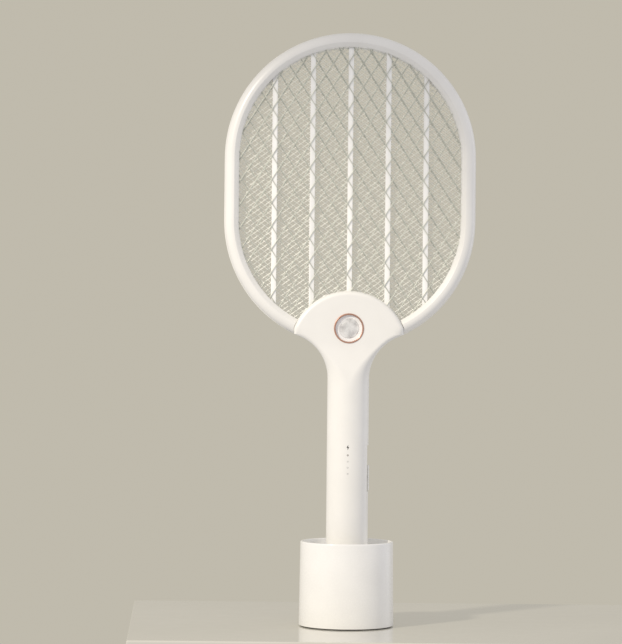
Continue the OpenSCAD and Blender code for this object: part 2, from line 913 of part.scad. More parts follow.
front_frame();
rear_frame();
front_net();
rear_net();
hv_net();
front_spacer();
rear_spacer();
frame_screws();
ground_clip();
hv_terminal();
ground_lead();
hv_lead();
handle_front_shell();
handle_rear_shell();
handle_screws();
lens_ring();
lamp_lens();
lamp_reflector();
lamp_board();
lamp_leds();
lamp_screws();
lamp_lead();
main_board();
board_screws();
hv_transformer();
hv_capacitor();
hv_diodes();
board_chips();
indicator_leds();
indicator_pipe();
switch_knob();
switch_carriage();
switch_wiper();
battery_cell();
battery_tabs();
battery_leads();
charge_leads();
end_cap();
contact_pads();
base_shell();
base_well();
base_plate();
foot_ring();
ballast_ring();
charging_board();
usb_socket();
base_leads();
pin_barrels();
charging_pin_left();
charging_pin_right();
pin_spring_left();
pin_spring_right();
base_screws();
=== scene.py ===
"""Looks of the rechargeable fly swatter that stands in its charging base.

Metres, in the CAD's frame: the origin is on the table under the base, +Z is up and the front
faces -Y. In the head's section, u runs inward from the outer edge and v runs away from the middle
of its depth. Shapes marked k are inset by k.
"""

import math

import bmesh
import bpy
from mathutils import Matrix, Vector


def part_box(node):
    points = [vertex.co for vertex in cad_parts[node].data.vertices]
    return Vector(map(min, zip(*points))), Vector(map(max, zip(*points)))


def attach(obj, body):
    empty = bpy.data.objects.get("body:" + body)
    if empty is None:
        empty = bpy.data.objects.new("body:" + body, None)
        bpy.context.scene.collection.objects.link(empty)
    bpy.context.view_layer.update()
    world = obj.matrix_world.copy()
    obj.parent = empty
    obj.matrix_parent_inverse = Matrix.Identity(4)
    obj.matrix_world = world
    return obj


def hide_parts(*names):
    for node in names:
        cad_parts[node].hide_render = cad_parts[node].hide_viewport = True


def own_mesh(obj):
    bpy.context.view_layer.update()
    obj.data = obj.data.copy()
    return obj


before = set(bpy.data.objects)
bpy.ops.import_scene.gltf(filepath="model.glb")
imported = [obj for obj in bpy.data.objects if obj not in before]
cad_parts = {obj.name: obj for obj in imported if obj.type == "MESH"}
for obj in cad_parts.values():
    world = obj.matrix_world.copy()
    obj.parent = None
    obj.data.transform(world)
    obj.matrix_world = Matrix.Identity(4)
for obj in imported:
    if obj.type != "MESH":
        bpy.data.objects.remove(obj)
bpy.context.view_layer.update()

MM = 0.001

# ---- sizes, from the CAD's boxes where a box holds them ----

head_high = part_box("rear_frame")[1]
net_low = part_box("front_net")[0]
spacer_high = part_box("front_spacer")[1]
shell_low, shell_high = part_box("handle_front_shell")
ring_low, ring_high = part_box("lens_ring")
base_low, base_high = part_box("base_shell")

# The head's outline is two half circles round centres at HEAD_Z and HEAD_GAP above it
HEAD_R = head_high.x
HEAD_GAP = 53 * MM
HEAD_Z = head_high.z - HEAD_R - HEAD_GAP

# The frame's halves meet SEAM_V in front of its middle. Its section is rounded up to RIM_U, slopes
# in to the lip at LIP_V, and has a pocket for the nets from POCKET_U inward.
FRAME_DEPTH = head_high.y
FRAME_W = 12.2 * MM
SEAM_V = 2.5 * MM
LIP_V = FRAME_DEPTH - 2.9 * MM
RIM_U = 7.4 * MM
POCKET_U = 8.3 * MM

# The nets and spacers reach out to STACK_R, and the nets end NET_HUB_R from the hub's centre. The
# guard nets' outer faces lie NET_OUT from the middle.
STACK_R = spacer_high.x
NET_OUT = -net_low.y
NET_T = 0.8 * MM
NET_BORDER = 0.9 * MM
NET_HUB_R = 44.5 * MM

# The grip is round but for a strip along the seam, SIDE_FLAT to each side. The neck's hollow arcs
# start at NECK_Z and touch the head's lower circle. NECK_LEAN is the upright share of the line from
# an arc's centre to the head's. The hub's face is rounded BEVEL_W in and BEVEL_H down at its edge.
GRIP_R = 17.65 * MM
SIDE_FLAT = 0.4 * MM
WALL = 2 * MM
HUB_R = 50 * MM
HUB_Z = shell_high.z - HUB_R
HUB_HALF_W = shell_high.x
HUB_HALF_T = 13 * MM
NECK_R = 37.3 * MM
NECK_Z = HEAD_Z - math.sqrt((HEAD_R + NECK_R) ** 2 - (GRIP_R + NECK_R) ** 2)
NECK_LEAN = (HEAD_Z - NECK_Z) / (HEAD_R + NECK_R)
BEVEL_W = 3.6 * MM
BEVEL_H = 4 * MM
# The round grip turns into the flat hub between these heights
BLEND_Z = (200 * MM, 238.6 * MM)
SHELL_Z = shell_low.z

# The lens ring lies over the hub's face by RING_LAP. The switch has a pocket and a slot behind it,
# each between two heights.
LAMP_Z = (ring_low.z + ring_high.z) / 2
LAMP_R = ring_high.x
RING_LAP = 0.6 * MM
SWITCH_Z = (114 * MM, 153 * MM)
SLOT_Z = (122.3 * MM, 144.1 * MM)
SLOT_HALF_W = 1.7 * MM
POCKET_X = GRIP_R - 1.1 * MM
DOT_PITCH = 5.2 * MM
DOT_R = 0.8 * MM
DOTS_Z = [144.7 * MM - i * DOT_PITCH for i in range(4)]
MARK_Z = 151.3 * MM

BASE_R = base_high.x
BASE_H = base_high.z
# The gap under the base is drawn finer than the CAD's, as fine as the photographed shadow line
FOOT_GAP = base_low.z - 0.4 * MM
RIM_R = BASE_R - 0.75 * MM
BASE_WALL = 2.2 * MM

# Reach of a cutter that goes right through the head or the handle
THROUGH = 30 * MM

# ---- materials ----


def node_of(tree, kind, **sockets):
    """A shader node with its input sockets set to constants or linked to outputs."""
    made = tree.nodes.new(kind)
    for name, value in sockets.items():
        socket = made.inputs[name.replace("_", " ")]
        if isinstance(value, bpy.types.NodeSocket):
            tree.links.new(value, socket)
        else:
            socket.default_value = value
    return made


def noise(tree, scale, stretch):
    """Noise in the object's own space, with features of about 1 / scale metres."""
    place = tree.nodes.new("ShaderNodeTexCoord")
    mapped = node_of(tree, "ShaderNodeMapping", Vector=place.outputs["Object"], Scale=stretch)
    made = node_of(tree, "ShaderNodeTexNoise", Vector=mapped.outputs[0], Scale=scale, Detail=4)
    return made.outputs[0]


def ramp(tree, fac, low, high):
    """Blends two colours or greys over the middle of a noise's range."""
    made = node_of(tree, "ShaderNodeValToRGB", Fac=fac)
    for stop, at, colour in zip(made.color_ramp.elements, (0.35, 0.65), (low, high)):
        stop.position = at
        stop.color = (*colour, 1) if hasattr(colour, "__len__") else (colour, colour, colour, 1)
    return made.outputs[0]


def material(name, dark, light, rough, grain, bump, patch=35, stretch=(1, 1, 1), **constants):
    """A surface whose colour wanders between two tones over patches of about 1 / patch metres.

    Its roughness and its bump, a strength and a distance, follow one finer noise, the grain.
    """
    made = bpy.data.materials.new(name)
    made.use_nodes = True
    tree = made.node_tree
    shader = tree.nodes["Principled BSDF"]
    link = tree.links.new
    link(ramp(tree, noise(tree, patch, stretch), dark, light), shader.inputs["Base Color"])
    fine = noise(tree, grain, stretch)
    link(ramp(tree, fine, *rough), shader.inputs["Roughness"])
    relief = node_of(tree, "ShaderNodeBump", Strength=bump[0], Distance=bump[1], Height=fine)
    link(relief.outputs[0], shader.inputs["Normal"])
    for socket, value in constants.items():
        shader.inputs[socket.replace("_", " ")].default_value = value
    return made


SHELL = material("white_satin", (0.850, 0.838, 0.792), (0.880, 0.868, 0.822), (0.30, 0.40), 2600,
                 (0.12, 0.00003), Coat_Weight=0.15, Coat_Roughness=0.2)
BASE_WHITE = material("white_gloss", (0.875, 0.87, 0.84), (0.905, 0.90, 0.87), (0.22, 0.30), 1800,
                      (0.08, 0.00003), Coat_Weight=0.3, Coat_Roughness=0.12)
INNER = material("white_matt", (0.90, 0.89, 0.85), (0.94, 0.93, 0.89), (0.45, 0.58), 3200,
                 (0.2, 0.00004))
GUARD_WIRE = material("guard_wire", (0.58, 0.60, 0.56), (0.68, 0.70, 0.65), (0.44, 0.55), 5000,
                      (0.25, 0.00003), patch=140, Metallic=0.6)
HV_WIRE = material("hv_wire", (0.94, 0.95, 0.91), (0.99, 0.99, 0.96), (0.32, 0.42), 5000,
                   (0.25, 0.00003), patch=120, Metallic=0.65)
RIB = material("rib_white", (0.93, 0.925, 0.89), (0.96, 0.955, 0.92), (0.40, 0.52), 3200,
               (0.15, 0.00003))
ROSE_GOLD = material("rose_gold", (0.54, 0.315, 0.255), (0.65, 0.395, 0.325), (0.36, 0.48), 4200,
                     (0.15, 0.00002), patch=90, Metallic=0.85)
LENS = material("frosted_lens", (0.90, 0.90, 0.89), (0.96, 0.96, 0.95), (0.08, 0.16), 2400,
                (0.1, 0.00003), Alpha=0.04, Coat_Weight=0.4, Coat_Roughness=0.04)
DIFFUSER = material("diffuser", (0.42, 0.42, 0.415), (0.80, 0.80, 0.78), (0.3, 0.45), 1500,
                    (0.3, 0.0001), patch=150)
REFLECTOR = material("reflector", (0.93, 0.925, 0.90), (0.96, 0.955, 0.93), (0.18, 0.28), 2400,
                     (0.1, 0.00002), Coat_Weight=0.4, Coat_Roughness=0.08)
STEEL = material("zinc_steel", (0.50, 0.50, 0.49), (0.68, 0.68, 0.66), (0.25, 0.42), 3600,
                 (0.3, 0.00003), patch=220, Metallic=1.0)
BRASS = material("gold_flash", (0.74, 0.56, 0.26), (0.86, 0.68, 0.36), (0.18, 0.32), 3600,
                 (0.2, 0.00002), patch=200, Metallic=1.0)
BLACK = material("black_plastic", (0.012, 0.012, 0.014), (0.03, 0.03, 0.033), (0.35, 0.5), 2800,
                 (0.2, 0.00003))
MARK = material("dark_window", (0.007, 0.006, 0.007), (0.015, 0.014, 0.014), (0.12, 0.2), 2400,
                (0.1, 0.00002))
AMBER_DOT = material("amber_window", (0.44, 0.42, 0.39), (0.54, 0.51, 0.47), (0.14, 0.22), 2400,
                     (0.1, 0.00002), patch=600)
GREY_DOT = material("clear_window", (0.70, 0.695, 0.66), (0.78, 0.775, 0.74), (0.14, 0.22), 2400,
                    (0.1, 0.00002), patch=600)
BOARD = material("solder_mask", (0.012, 0.10, 0.05), (0.03, 0.18, 0.09), (0.22, 0.34), 3000,
                 (0.25, 0.00003), patch=160, Coat_Weight=0.4, Coat_Roughness=0.15)
RED_WIRE = material("red_insulation", (0.42, 0.02, 0.015), (0.58, 0.045, 0.03), (0.4, 0.55), 1600,
                    (0.2, 0.00004))
BLACK_WIRE = material("black_insulation", (0.012, 0.012, 0.012), (0.03, 0.03, 0.03), (0.4, 0.55),
                      1600, (0.2, 0.00004))
CELL = material("cell_sleeve", (0.02, 0.10, 0.26), (0.04, 0.16, 0.36), (0.16, 0.28), 900,
                (0.2, 0.0001), Coat_Weight=0.6, Coat_Roughness=0.08)
DIPPED = material("dipped_resin", (0.34, 0.045, 0.02), (0.46, 0.07, 0.035), (0.14, 0.24), 700,
                  (0.3, 0.0002), Coat_Weight=0.6, Coat_Roughness=0.08)
TAPE = material("taped_coil", (0.52, 0.42, 0.07), (0.66, 0.55, 0.14), (0.25, 0.4), 1200,
                (0.3, 0.0001), stretch=(1, 1, 6))
RUBBER = material("rubber", (0.16, 0.155, 0.148), (0.22, 0.213, 0.205), (0.6, 0.8), 1800,
                  (0.4, 0.0001))
IRON = material("plated_iron", (0.22, 0.22, 0.22), (0.36, 0.36, 0.35), (0.4, 0.6), 1100,
                (0.5, 0.0001), patch=120, Metallic=0.9)
LED = material("led_resin", (0.70, 0.66, 0.38), (0.86, 0.82, 0.54), (0.12, 0.2), 2000,
               (0.1, 0.00003), patch=300, Coat_Weight=0.5, Coat_Roughness=0.06)

# ---- mesh helpers ----


def finish(obj, paint, body, node, sharp=35):
    """Shades a piece smooth up to its sharp edges, paints it and ties it to the frame."""
    mesh = obj.data
    mesh.materials.clear()
    mesh.materials.append(paint)
    mesh.shade_smooth()
    mesh.set_sharp_from_angle(angle=math.radians(sharp))
    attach(obj, body)
    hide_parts(node)


def mesh_object(name, points, faces):
    """A new object from points and faces, with its faces turned outwards."""
    mesh = bpy.data.meshes.new(name)
    mesh.from_pydata([tuple(p) for p in points], [], faces)
    work = bmesh.new()
    work.from_mesh(mesh)
    bmesh.ops.recalc_face_normals(work, faces=work.faces)
    work.to_mesh(mesh)
    work.free()
    made = bpy.data.objects.new(name, mesh)
    bpy.context.scene.collection.objects.link(made)
    return made


def apply_modifiers(obj):
    """Replaces an object's mesh by what its modifiers make of it."""
    graph = bpy.context.evaluated_depsgraph_get()
    mesh = bpy.data.meshes.new_from_object(obj.evaluated_get(graph))
    mesh.name = obj.name
    obj.modifiers.clear()
    obj.data = mesh


def combine(obj, tool, operation="DIFFERENCE"):
    """Cuts or joins obj with a tool object, which is used up."""
    step = obj.modifiers.new("step", "BOOLEAN")
    step.object = tool
    step.operation = operation
    step.solver = "EXACT"
    apply_modifiers(obj)
    bpy.data.objects.remove(tool)


def joined(objects, name):
    """One object that holds the meshes of several."""
    work = bmesh.new()
    for o in objects:
        work.from_mesh(o.data)
    mesh = bpy.data.meshes.new(name)
    work.to_mesh(mesh)
    work.free()
    for o in objects:
        bpy.data.objects.remove(o)
    made = bpy.data.objects.new(name, mesh)
    bpy.context.scene.collection.objects.link(made)
    return made


def strips(rings, count, closed=True):
    """Quads between rings of count points each, which follow each other in a row."""
    faces = []
    for here in range(0, (rings - 1) * count, count):
        there = here + count
        for i in range(count if closed else count - 1):
            j = (i + 1) % count
            faces.append((here + i, here + j, there + j, there + i))
    return faces


def closed_strips(rings, count):
    """Quads between rings of count points each, of which the last joins the first."""
    faces = []
    for ring in range(rings):
        here, there = ring * count, (ring + 1) % rings * count
        for i in range(count):
            j = (i + 1) % count
            faces.append((here + i, here + j, there + j, there + i))
    return faces


def weld(mesh, flat=None):
    """Joins points that coincide and, with flat given, faces that meet at less than that angle."""
    work = bmesh.new()
    work.from_mesh(mesh)
    bmesh.ops.remove_doubles(work, verts=work.verts, dist=1e-6)
    if flat:
        bmesh.ops.dissolve_limit(work, angle_limit=flat, verts=work.verts, edges=work.edges)
    work.to_mesh(mesh)
    work.free()


def lathe(name, profile, centre, upright, steps):
    """Turns a closed profile of (radius, along) points round an axis through centre.

    The axis is Z if upright. If not, it is Y, and the profile's second number runs to the front.
    """
    points = []
    for i in range(steps):
        a = 2 * math.pi * i / steps
        for r, along in profile:
            x, other = r * math.cos(a), r * math.sin(a)
            points.append(centre + Vector((x, other, along) if upright else (x, -along, other)))
    made = mesh_object(name, points, closed_strips(steps, len(profile)))
    weld(made.data)
    return made


def arc(x, z, r, start, end, steps):
    """Points of an arc round (x, z) as (x, z), both ends included."""
    angles = (start + (end - start) * i / steps for i in range(steps + 1))
    return [(x + r * math.cos(a), z + r * math.sin(a)) for a in angles]


def circle(x, z, r, steps):
    """A closed outline of (x, z) points."""
    return arc(x, z, r, 0, 2 * math.pi, steps)[:-1]


def bar_faces(n, first=0):
    """Faces of a bar between two rings of n points each, numbered from first."""
    ends = [tuple(range(n)), tuple(range(2 * n - 1, n - 1, -1))]
    return [tuple(first + v for v in face) for face in strips(2, n) + ends]


def prism(outline, y0, y1):
    """An outline of (x, z) points drawn out from depth y0 to depth y1."""
    points = [(x, y, z) for y in (y0, y1) for x, z in outline]
    return mesh_object("tool", points, bar_faces(len(outline)))


def rod(x, z, r, y0, y1, steps):
    """A round bar along Y."""
    return prism(circle(x, z, r, steps), y0, y1)


def cuboid(low, high):
    """A block between two corners."""
    (x0, y0, z0), (x1, y1, z1) = low, high
    return prism([(x0, z0), (x1, z0), (x1, z1), (x0, z1)], y0, y1)


def rounded(corners, radii, steps):
    """A closed outline whose corners are replaced by arcs of the given radii."""
    out = []
    n = len(corners)
    for i, (corner, r) in enumerate(zip(corners, radii)):
        p = Vector(corner)
        a = (Vector(corners[i - 1]) - p).normalized()
        b = (Vector(corners[(i + 1) % n]) - p).normalized()
        half = a.angle(b) / 2
        if r == 0 or half > math.radians(89):
            out.append(tuple(p))
            continue
        reach = r / math.tan(half)
        centre = p + (a + b).normalized() * (r / math.sin(half))
        start, end = p + a * reach - centre, p + b * reach - centre
        for k in range(steps + 1):
            out.append(tuple(centre + start.slerp(end, k / steps).normalized() * r))
    return out


def from_cad(node, body, paint, edge):
    """A copy of a CAD node with its edges rounded, for a piece whose CAD shape is right."""
    made = bpy.data.objects.new(node + "_piece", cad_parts[node].data.copy())
    bpy.context.scene.collection.objects.link(made)
    weld(made.data, math.radians(0.5))
    if edge:
        step = made.modifiers.new("edges", "BEVEL")
        step.width = edge
        step.segments = 2
        step.limit_method = "ANGLE"
        step.angle_limit = math.radians(50)
        step.use_clamp_overlap = True
        step.miter_outer = "MITER_ARC"
        apply_modifiers(made)
    finish(made, paint, body, node)


# ---- head ----


def stadium(r):
    """The head's outline at radius r, as (x, z) points, anticlockwise from the right."""
    upper = arc(0, HEAD_Z + HEAD_GAP, r, 0, math.pi, 64)
    return upper + arc(0, HEAD_Z, r, math.pi, 2 * math.pi, 64)


def sweep_head(name, section, side):
    """Sweeps a closed section of (u, v) points round the head. Side is -1 for the front half."""
    loops = [stadium(HEAD_R - u) for u, v in section]
    points = []
    for corner in zip(*loops):
        points += [(x, side * v, z) for (x, z), (u, v) in zip(corner, section)]
    return mesh_object(name, points, closed_strips(len(loops[0]), len(section)))


def frame_section(edge, seam):
    """Half the frame's section: a rounded outer side, a crisp chamfer and the seat of the nets."""
    bend, crisp = 3.2 * MM, 0.35 * MM
    outer = [
        (RIM_U - (RIM_U - edge) * math.cos(a), bend + (FRAME_DEPTH - bend) * math.sin(a))
        for a in (math.pi / 2 * i / 14 for i in range(14))
    ]
    inner = rounded(
        [(RIM_U, FRAME_DEPTH), (RIM_U + 1 * MM, FRAME_DEPTH), (FRAME_W, LIP_V), (FRAME_W, NET_OUT),
         (POCKET_U, NET_OUT), (POCKET_U, seam)],
        [0, 0.5 * MM, crisp, 0.3 * MM, 0, 0], 3)
    return [(edge + crisp, seam), (edge, seam + crisp), *outer, *inner]


def hub_outline(grow):
    """The hub's outline seen from the front, grown all round."""
    side = HUB_HALF_W + grow
    return [(max(-side, min(side, x)), z) for x, z in circle(0, HUB_Z, HUB_R + grow, 96)]


def screw_places():
    """Where the frame's screws go, as (x, z)."""
    r = HEAD_R - 4.8 * MM
    out = []
    for centre, angles in ((HEAD_Z + HEAD_GAP, (30, 70, 110, 150)), (HEAD_Z, (-12, -45, 192, 225))):
        for a in map(math.radians, angles):
            out.append((r * math.cos(a), centre + r * math.sin(a)))
    return out


HUB_CLEARANCE = 0.25 * MM
FRAME_STEP = 0.5 * MM
for node, side, edge, seam in (("front_frame", -1, FRAME_STEP, SEAM_V), ("rear_frame", 1, 0, -SEAM_V)):
    half = sweep_head(node + "_piece", frame_section(edge, seam), side)
    combine(half, prism(hub_outline(HUB_CLEARANCE), -THROUGH, THROUGH))
    if side > 0:
        holes = [rod(x, z, 2.1 * MM, 7.5 * MM, 14 * MM, 32) for x, z in screw_places()]
        combine(half, joined(holes, "tool"))
    finish(half, SHELL, "swatter", node, 32)


def inside_net(x, z, r, hub):
    """Whether a point lies in the head's outline at radius r and outside the hub's arc."""
    nearest = min(max(z, HEAD_Z), HEAD_Z + HEAD_GAP)
    return math.hypot(x, z - nearest) < r and math.hypot(x, z - HUB_Z) > hub


def in_wire_field(foot, along, t):
    """Whether the point t along a line lies where the wires run. They end inside the border."""
    x, z = foot.x + along.x * t, foot.y + along.y * t
    return inside_net(x, z, STACK_R - 0.3 * MM, NET_HUB_R + 0.7 * MM)


def wire_end(foot, along, low, high):
    """The last point inside the wires' field between two distances, one inside and one outside."""
    entering = in_wire_field(foot, along, high)
    for _ in range(12):
        middle = (low + high) / 2
        if in_wire_field(foot, along, middle) == entering:
            high = middle
        else:
            low = middle
    return high if entering else low


def chords(foot, along):
    """The stretches of a line that lie in the wires' field, as (start, end) distances."""
    reach, step, shortest = 300 * MM, 1.5 * MM, 0.8 * MM
    count = round(reach / step)
    out, start = [], None
    for t in (i * step for i in range(-count, count + 1)):
        if in_wire_field(foot, along, t) == (start is not None):
            continue
        end = wire_end(foot, along, t - step, t)
        if start is None:
            start = end
        else:
            if end - start > shortest:
                out.append((start, end))
            start = None
    return out


def net_foot(depth):
    """The arc of a net's border that runs along the hub."""
    outer = NET_HUB_R + NET_BORDER
    angles = [a for a in map(math.radians, range(181))
              if inside_net(outer * math.cos(a), HUB_Z + outer * math.sin(a), STACK_R - 0.4 * MM, 0)]
    start, end, steps = angles[0], angles[-1], len(angles) - 1
    outline = arc(0, HUB_Z, outer, start, end, steps) + arc(0, HUB_Z, NET_HUB_R, end, start, steps)
    return prism(outline, depth - NET_T / 2, depth + NET_T / 2)


WIRE_SIDES = 8
# Further than any corner of a net lies from the point where its pattern of wires starts
NET_REACH = 260 * MM


def net(name, node, paint, cell, origin, depth, wire_r, layer):
    """Two layers of round wires that cross at the corners of diamond cells, with their border.

    The layer that rises to the right is the outer one, or the front one in the middle net.
    """
    outward = 1 if depth > 0 else -1
    lean = math.atan2(cell[1], cell[0])
    pitch = cell[0] * math.sin(lean)
    count = int(NET_REACH / pitch)
    points, faces = [], []
    for turn in (-1, 1):
        along = Vector((math.cos(turn * lean), math.sin(turn * lean)))
        across = Vector((-along.y, along.x))
        y = depth + turn * outward * layer
        for i in range(-count, count + 1):
            foot = Vector(origin) + across * pitch * i
            for chord in chords(foot, along):
                faces += bar_faces(WIRE_SIDES, len(points))
                for t in chord:
                    p = foot + along * t
                    for k in range(WIRE_SIDES):
                        a = 2 * math.pi * (k + 0.5) / WIRE_SIDES
                        off = across * wire_r * math.cos(a)
                        points.append((p.x + off.x, y + wire_r * math.sin(a), p.y + off.y))
    wires = mesh_object(name, points, faces)
    u0, u1 = HEAD_R - STACK_R, HEAD_R - STACK_R + NET_BORDER
    v0, v1 = -depth - NET_T / 2, -depth + NET_T / 2
    rim = sweep_head("tool", [(u0, v0), (u1, v0), (u1, v1), (u0, v1)], -1)
    combine(rim, prism(circle(0, HUB_Z, NET_HUB_R + 0.5 * MM, 96), -THROUGH, THROUGH))
    finish(joined([wires, rim, net_foot(depth)], name), paint, "swatter", node, 60)


GUARD_CELL = (12.8 * MM, 19.8 * MM)
GUARD_ORIGIN = (-34.2 * MM, 327.3 * MM)
HV_CELL = (6 * MM, 4.36 * MM)
guard_depth = NET_OUT - NET_T / 2
for side, depth in (("front", -guard_depth), ("rear", guard_depth)):
    net(f"{side}_net_wires", f"{side}_net", GUARD_WIRE, GUARD_CELL, GUARD_ORIGIN,
        depth, 0.40 * MM, 0.16 * MM)
net("hv_net_wires", "hv_net", HV_WIRE, HV_CELL, (0, HEAD_Z), 0, 0.30 * MM, 0.18 * MM)

for node in ("front_spacer", "rear_spacer"):
    from_cad(node, "swatter", RIB, 0.25 * MM)

# ---- handle ----


def mix(a, b, t):
    """The value a share t of the way from a to b."""
    return a + (b - a) * t


def hub_share(z):
    """0 on the round grip and 1 on the flat hub, with a smooth change between them."""
    t = max(0.0, min(1.0, (z - BLEND_Z[0]) / (BLEND_Z[1] - BLEND_Z[0])))
    return t * t * (3 - 2 * t)


def neck_top(k):
    """Height where the neck's arc meets the head's outline, on the outline inset by k."""
    return HEAD_Z - (HEAD_R - k) * NECK_LEAN


def half_width(z, k):
    """Half the handle's width at height z, on the outline inset by k."""
    if z <= NECK_Z:
        return GRIP_R - k
    if z <= neck_top(k):
        return GRIP_R + NECK_R - math.sqrt((NECK_R + k) ** 2 - (z - NECK_Z) ** 2)
    return min(
        HUB_HALF_W - k,
        math.sqrt((HEAD_R - k) ** 2 - (HEAD_Z - z) ** 2),
        math.sqrt(max(0, (HUB_R - k) ** 2 - (z - HUB_Z) ** 2)),
    )


def edge_distance(x, z):
    """How far a point of the front view is from the handle's outline."""
    if z <= NECK_Z:
        return GRIP_R - abs(x)
    rise = HEAD_Z - z
    if abs(x) * NECK_LEAN > rise * math.sqrt(1 - NECK_LEAN ** 2):
        below = HEAD_R - math.hypot(x, rise)
    else:
        below = math.hypot(abs(x) - GRIP_R - NECK_R, z - NECK_Z) - NECK_R
    return min(below, HUB_HALF_W - abs(x), HUB_R - math.hypot(x, z - HUB_Z))


def face_depth(x, z, k):
    """Depth of the handle's face at a point, on the shape inset by k."""
    s = hub_share(z)
    depth = mix(GRIP_R, HUB_HALF_T, s) - k
    round_w = mix(GRIP_R, BEVEL_W, s) - k
    round_h = mix(GRIP_R - SIDE_FLAT, BEVEL_H, s) - k
    d = max(0.0, min(round_w, edge_distance(x, z) - k))
    return depth - round_h + round_h * math.sqrt(max(0.0, 1 - (1 - d / round_w) ** 2))


def ring_heights(k):
    """Heights of the rings of the handle's shape inset by k. Their number doesn't depend on k."""
    side = HUB_HALF_W - k
    low = HEAD_Z - math.sqrt((HEAD_R - k) ** 2 - side ** 2)
    a0 = math.acos(side / (HUB_R - k))
    top = neck_top(k)
    straight = [mix(SHELL_Z, BLEND_Z[0], i / 14) for i in range(14)]
    neck = [mix(BLEND_Z[0], top, i / 52) for i in range(53)]
    wing = [mix(top, low, i / 8) for i in range(1, 9)]
    crown = [HUB_Z + (HUB_R - k) * math.sin(mix(a0, math.radians(89), i / 56)) for i in range(57)]
    return straight + neck + wing + crown


SEAM_CHAMFER = 0.22 * MM


def half_skin(k, chamfer, rise):
    """Rings of points over the front half of the handle, from the left seam to the right seam.

    A ring's ends lie on the seam, in by the chamfer, and next to them it meets the side at depth rise.
    """
    across = 84
    rings = []
    for z in ring_heights(k):
        a = half_width(z, k)
        ring = [(-a + chamfer, 0.0, z), (-a, -rise, z)]
        for i in range(across + 1):
            x = a * math.sin(math.pi * (i / across - 0.5))
            ring.append((x, -face_depth(x, z, k), z))
        ring += [(a, -rise, z), (a - chamfer, 0.0, z)]
        rings.append(ring)
    return rings


def handle_half(name, side):
    """One moulded half of the handle: an outer and an inner skin, joined at the seam and the foot.

    Side is 1 for the front half and -1 for the rear half.
    """
    outer, inner = half_skin(0, SEAM_CHAMFER, SEAM_CHAMFER), half_skin(WALL, 0, 0.1 * MM)
    rings, count = len(outer), len(outer[0])
    points = [(x, side * y, z) for ring in outer + inner for x, y, z in ring]
    base = rings * count
    last = base - count
    skin = strips(rings, count, closed=False) + [tuple(range(last, base))]
    faces = skin + [tuple(base + v for v in face) for face in skin]
    for a in range(0, last, count):
        for seam in (a, a + count - 1):
            faces.append((seam, seam + count, base + seam + count, base + seam))
    faces += [(i, i + 1, base + i + 1, base + i) for i in range(count - 1)]
    faces.append((last, base - 1, base + base - 1, base + last))
    return mesh_object(name, points, faces)


EYE_X = 33.5 * MM
EYE_Z = HEAD_Z - math.sqrt((HEAD_R - 5.8 * MM) ** 2 - EYE_X ** 2)
NECK_SCREW_Z = 226 * MM
GRIP_SCREW_Z = 96.5 * MM
HANDLE_SCREWS = [(EYE_X, EYE_Z), (-EYE_X, EYE_Z), (0, NECK_SCREW_Z), (0, GRIP_SCREW_Z)]
BOLT = [(0.35, 2.2), (-1.1, -0.25), (-0.15, -0.25), (-0.35, -2.2), (1.1, 0.35), (0.15, 0.35)]


def bolt_outline(grow):
    """The charge mark as (x, z) points, grown a little about its middle."""
    return [(x * MM * grow, MARK_Z + z * MM * grow) for x, z in BOLT]


def cut_handle(half):
    """The openings that both halves share: the nets' mouth and the switch's pocket and slot."""
    mouth = prism(stadium(HEAD_R - 8.2 * MM), -NET_OUT - HUB_CLEARANCE, NET_OUT + HUB_CLEARANCE)
    combine(mouth, prism(circle(0, HUB_Z, NET_HUB_R + 1.5 * MM, 96), -THROUGH, THROUGH))
    combine(half, mouth)
    combine(half, cuboid((POCKET_X, -8 * MM, SWITCH_Z[0]), (THROUGH, 8 * MM, SWITCH_Z[1])))
    combine(half, cuboid((12 * MM, -SLOT_HALF_W, SLOT_Z[0]), (THROUGH, SLOT_HALF_W, SLOT_Z[1])))


front = handle_half("handle_front_piece", 1)
cut_handle(front)
combine(front, rod(0, LAMP_Z, LAMP_R - RING_LAP, -THROUGH, -8 * MM, 96))
combine(front, joined([rod(0, z, DOT_R + 0.05 * MM, -THROUGH, -12 * MM, 24) for z in DOTS_Z], "tool"))
combine(front, prism(bolt_outline(1.06), -THROUGH, -12 * MM))
finish(front, SHELL, "swatter", "handle_front_shell", 38)

rear = handle_half("handle_rear_piece", -1)
cut_handle(rear)
for x, z in HANDLE_SCREWS:
    seat = face_depth(x, z, 0) - 2.6 * MM
    combine(rear, rod(x, z, 3.6 * MM, seat - 1.6 * MM, seat + 1.4 * MM, 32), "UNION")
    combine(rear, rod(x, z, 2.4 * MM, seat, THROUGH, 32))
finish(rear, SHELL, "swatter", "handle_rear_shell", 38)

# ---- lamp ----

LAMP = Vector((0, 0, LAMP_Z))


def lamp_turn(name, outline, paint, node):
    """Turns an outline of (radius, depth) points in mm round the lamp's axis.

    Depths run to the front from the hub's face.
    """
    profile = [(r * MM, HUB_HALF_T + depth * MM) for r, depth in outline]
    finish(lathe(name, profile, LAMP, False, 96), paint, "swatter", node)


outer_r, lap = LAMP_R / MM, RING_LAP / MM
ring_outline = rounded(
    [(outer_r, 0), (outer_r, 0.7), (outer_r - 1.3, 0.7), (outer_r - 1.3, -2.8), (outer_r - lap, -2.8),
     (outer_r - lap, 0)],
    [0, 0.45, 0.45, 0.1, 0.1, 0], 5)
lamp_turn("lens_ring_piece", ring_outline, ROSE_GOLD, "lens_ring")

lens_r = outer_r - 1.35
dome = [(lens_r * math.cos(a), 0.9 * math.sin(a) - 0.9) for a in (math.pi / 32 * i for i in range(17))]
under = [(0, -0.6), (lens_r / 2, -0.75), (lens_r, -1.3)]
lamp_turn("lamp_lens_cover", dome + under, LENS, "lamp_lens")

